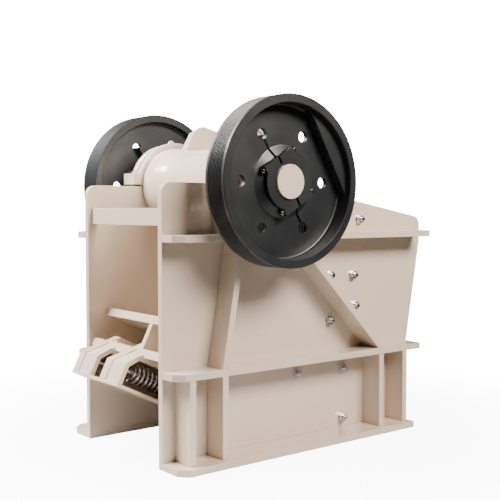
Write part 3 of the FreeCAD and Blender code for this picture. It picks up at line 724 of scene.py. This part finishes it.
# %% The housing's slices
TRAY, REAR, CUT, UP, LONG = 0.024, 0.170, 0.080, 0.255, 0.520
ARCH_UP, ARCH_CUT, ARCH_LONG = 0.372, 0.225, 0.430
FLANGE_WIDE = 0.054
BAND_FROM, BAND_TO, ARCH_FROM = 0.060, 0.128, 0.185


def low_slice():
    """The band's slice, a little inside the arch's outline."""
    return [(0.018, TRAY), (0.018, 0.162), (0.182, 0.310), (0.396, 0.310), (0.400, 0.310)]


def high_slice():
    """The arch's slice."""
    return [(0.0, TRAY), (0.0, REAR), (ARCH_CUT, ARCH_UP), (ARCH_LONG - 0.004, ARCH_UP), (ARCH_LONG, ARCH_UP)]


def between(first, second, share):
    return [(a[0] + (b[0] - a[0]) * share, a[1] + (b[1] - a[1]) * share) for a, b in zip(first, second)]


def loft(slices, wall):
    """A skin through (y, [(along, up), ...]) slices, thickened inwards."""
    rows, columns = len(slices), len(slices[0][1])
    bpy.ops.object.select_all(action="DESELECT")
    bpy.ops.mesh.primitive_grid_add(x_subdivisions=columns - 1, y_subdivisions=rows - 1, size=1.0)
    skin = bpy.context.active_object
    for index, vertex in enumerate(skin.data.vertices):
        row, column = divmod(index, columns)
        y, corners = slices[row]
        vertex.co = (corners[column][0], y, corners[column][1])
    edit(skin, lambda: bpy.ops.mesh.normals_make_consistent(inside=False))
    normal = skin.data.polygons[0].normal
    if normal.x > 0:
        edit(skin, lambda: bpy.ops.mesh.flip_normals())
    modify(skin, "SOLIDIFY", thickness=wall, offset=-1.0, use_even_offset=True)
    return skin


def housing_shell(y_low):
    """Band, cove and arch, across the housing from the flange to the far side."""
    low, high = low_slice(), high_slice()
    slices = [(y_low + BAND_FROM, low), (y_low + BAND_TO, low)]
    for index in range(1, 11):
        turn = math.pi / 2 * index / 10
        across = BAND_TO + (ARCH_FROM - BAND_TO) * math.sin(turn)
        slices.append((y_low + across, between(low, high, 1 - math.cos(turn))))
    slices.append((y_low + HOUSE_WIDE, high))
    return loft(slices, 0.014)


def flange_corners(inset_side, inset_top):
    return [(inset_side, TRAY), (inset_side, REAR - inset_side * 0.4), (CUT + inset_side * 0.4, UP - inset_top),
            (LONG - inset_side, UP - inset_top), (LONG - inset_side, TRAY)]


def housing_flange(y_low):
    """The flange: one strip bent along the outline, open at the bottom where it meets the tray."""
    outer = flange_corners(0.0, 0.0)
    inner = flange_corners(0.034, 0.034)
    ring = outer + list(reversed(inner))
    corners = [Vector((a, y_low, u)) for a, u in ring]
    return slab(corners, Vector((0, FLANGE_WIDE, 0)))


def housing(side):
    y_low = side * HOUSE_MIDDLE - HOUSE_WIDE / 2
    shell = soften(housing_shell(y_low), 0.0, 2, 30.0)
    flange = soften(housing_flange(y_low), 0.002, 2)
    front = slab([Vector((LONG - 0.032, y_low + 0.03, TRAY)), Vector((LONG - 0.032, y_low + HOUSE_WIDE, TRAY)),
                  Vector((LONG - 0.032, y_low + HOUSE_WIDE, UP)), Vector((LONG - 0.032, y_low + 0.03, UP))],
                 Vector((0.032, 0, 0)))
    inner = [(0.014, TRAY), (0.014, REAR - 0.014), (CUT, UP - 0.02), (LONG - 0.03, UP - 0.02), (LONG - 0.03, UP - 0.03),
             (CUT + 0.004, UP - 0.03), (0.024, REAR - 0.02), (0.024, TRAY)]
    bridge = slab([Vector((a, y_low + FLANGE_WIDE - 0.006, u)) for a, u in inner], Vector((0, 0.018, 0)))
    side_wall = slab([Vector((a, y_low + HOUSE_WIDE - 0.02, u)) for a, u in
                      [(0.01, TRAY), (0.01, REAR), (ARCH_CUT, ARCH_UP - 0.012), (ARCH_LONG - 0.004, ARCH_UP - 0.012),
                       (ARCH_LONG - 0.004, UP), (LONG - 0.002, UP), (LONG - 0.002, TRAY)]], Vector((0, 0.018, 0)))
    pieces = [shell, flange, soften(front, 0.002), soften(side_wall, 0.002), bridge]
    piece = lay_on_slope(join(pieces))
    word = SIDE_WORD[side]
    return hand_over(piece, word + "_housing_fabricated", CREAM, "frame", "cream_paint", word + "_spring_housing")


for side in (NEAR, FAR):
    housing(side)
print("spring housings fabricated")

# %% [markdown]
# ## Bearing caps
# Each cap has a lifting eye on its crown, a bolt on each ear and a raised band round its inner edge.

# %% Lifting eyes and ear bolts
cap_low, cap_high = [Vector(corner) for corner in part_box("flywheel_side_bearing_cap")]
CAP_MIDDLE = 0.58


def lifting_eye(y):
    bpy.ops.object.select_all(action="DESELECT")
    bpy.ops.mesh.primitive_torus_add(major_radius=0.024, minor_radius=0.009, major_segments=32, minor_segments=14,
                                     location=(AXIS.x, y, cap_high.z + 0.002), rotation=(math.pi / 2, 0, 0))
    return settle(bpy.context.active_object)


def ring_over(side, from_inner, wide, low, high):
    """Half a ring lying on the cap's crown, from_inner metres out from its inner edge."""
    start = side * (cap_inner + from_inner)
    end = start + side * wide
    ring = turned([Vector((AXIS.x, y, AXIS.z + radius)) for y, radius in (
        (start, low), (end, low), (end, high), (start, high))], 96)
    edit(ring, lambda: bpy.ops.mesh.bisect(plane_co=(0, 0, EAR_TOP), plane_no=(0, 0, 1),
                                           clear_inner=True, use_fill=True))
    return ring


def bearing_cap(side):
    """The cap with a raised band at its inner edge and two seams."""
    node = SIDE_WORD[side] + "_bearing_cap"
    cap = soften(merged_copy(node), CASTING_EDGE, 3, 40.0)
    carve(cap, *(ring_over(side, share * cap_wide, SEAM, cap_radius - SEAM, cap_radius + SEAM)
                 for share in (0.45, 0.88)))
    band = soften(ring_over(side, 0.002, BAND_WIDE, cap_radius - 0.01, cap_radius + BAND_RISE), 0.003)
    cap = join([cap, band])
    pick(cap)
    bpy.ops.object.shade_smooth_by_angle(angle=math.radians(40))
    return hand_over(cap, node + "_finished", CREAM, "frame", "cream_paint", node)


cap_inner, cap_wide = cap_low.y, cap_high.y - cap_low.y
cap_radius = cap_high.z - AXIS.z
EAR_TOP = 2.062
SEAM = 0.005
BAND_WIDE, BAND_RISE = 0.040, 0.011
for side in (NEAR, FAR):
    bearing_cap(side)
    ear_bolts = []
    for x in (-0.372, 0.372):
        place = Vector((AXIS.x + x, side * 0.615, 2.058))
        head = rod(0.024, place, place + Vector((0, 0, 0.022)), 6)
        ear_bolts.append(soften(head, 0.002))
    bolts = join(ear_bolts)
    hand_over(bolts, SIDE_WORD[side] + "_cap_bolts", DARK_STEEL, "frame", "bright_steel")
    eye = soften(lifting_eye(side * CAP_MIDDLE), 0.0, 2, 60.0)
    hand_over(eye, SIDE_WORD[side] + "_lifting_eye", CREAM, "frame", "cream_paint")
print("caps dressed")

# %% [markdown]
# ## Paint for what is left
# A few pieces of the construction show as they are. They get the same finishes through their material slots.

# %% Finish the remaining nodes
for node, item in frame["nodes"].items():
    item.data.materials.clear()
    item.data.materials.append(FINISHES[SLOT_OF[node]])
print("remaining nodes", sorted(n for n, item in frame["nodes"].items() if not item.hide_render))

# %% [markdown]
# ## Studio
# A pale floor that runs far back, large soft lights and a camera at standing height, to the rear and the
# drive side. Big lamps make long soft reflections, which is what tells gloss paint from matt.

# %% Floor
FLOOR_FADE_FROM, FLOOR_FADE_TO = 1.5, 4.2
FLOOR_SHOWS = 0.5


def studio_floor():
    bpy.ops.object.select_all(action="DESELECT")
    bpy.ops.mesh.primitive_plane_add(size=60.0, location=(0, 0, -0.001))
    floor = settle(bpy.context.active_object)
    floor.name = "studio_floor"
    pale = Finish("pale_floor")
    cloud = pale.steps(pale.noise(0.6, 2.0), 0.3, 0.7)
    away = pale.node("ShaderNodeVectorMath", {"operation": "LENGTH"}, output="Value", i0=pale.place())
    floor.data.materials.append(pale.surface(
        Base_Color=pale.mix(cloud, rgb(0.86, 0.86, 0.855), rgb(0.84, 0.84, 0.835)), Roughness=0.75,
        Alpha=(1.0 - pale.steps(away, FLOOR_FADE_FROM, FLOOR_FADE_TO)) * FLOOR_SHOWS))


studio_floor()
print("floor laid")

# %% Lights, world and camera
def area_light(name, place, target, size, power, colour):
    data = bpy.data.lights.new(name, "AREA")
    data.color = colour
    data.shape = "RECTANGLE"
    data.size, data.size_y = size
    data.energy = power
    light = bpy.data.objects.new(name, data)
    bpy.context.scene.collection.objects.link(light)
    light.location = place
    light.rotation_euler = (Vector(target) - Vector(place)).to_track_quat("-Z", "Y").to_euler()
    return light


CENTRE = (0.0, 0.0, 1.2)
area_light("sky_panel", (-4.2, 2.8, 7.4), CENTRE, (4.5, 4.5), 3700.0, (1.0, 0.985, 0.96))
area_light("rear_panel", (-8.0, 3.2, 3.2), CENTRE, (4.0, 4.0), 170.0, (1.0, 0.95, 0.90))
area_light("side_panel", (1.5, -7.0, 6.8), CENTRE, (5.0, 3.0), 2050.0, (1.0, 0.945, 0.885))

world = bpy.data.worlds.new("studio")
bpy.context.scene.world = world
world.use_nodes = True
glow = world.node_tree.nodes["Background"]
glow.inputs["Color"].default_value = (1.0, 0.985, 0.965, 1.0)
glow.inputs["Strength"].default_value = 0.07
backdrop = world.node_tree.nodes.new("ShaderNodeBackground")
backdrop.inputs["Strength"].default_value = 22.0
seen = world.node_tree.nodes.new("ShaderNodeLightPath")
blend = world.node_tree.nodes.new("ShaderNodeMixShader")
sky_out = world.node_tree.nodes["World Output"]
world.node_tree.links.new(seen.outputs["Is Camera Ray"], blend.inputs[0])
world.node_tree.links.new(glow.outputs[0], blend.inputs[1])
world.node_tree.links.new(backdrop.outputs[0], blend.inputs[2])
world.node_tree.links.new(blend.outputs[0], sky_out.inputs["Surface"])

lens = bpy.data.cameras.new("camera")
lens.lens = 62.2
lens.sensor_width = 36.0
camera = bpy.data.objects.new("camera", lens)
bpy.context.scene.collection.objects.link(camera)
camera.location = (-4.2566, -5.4692, 1.7631)
camera.rotation_euler = Vector((0.6141, 0.7880, -0.0457)).to_track_quat("-Z", "Y").to_euler()
bpy.context.scene.camera = camera
print("camera", [round(v, 3) for v in camera.location])
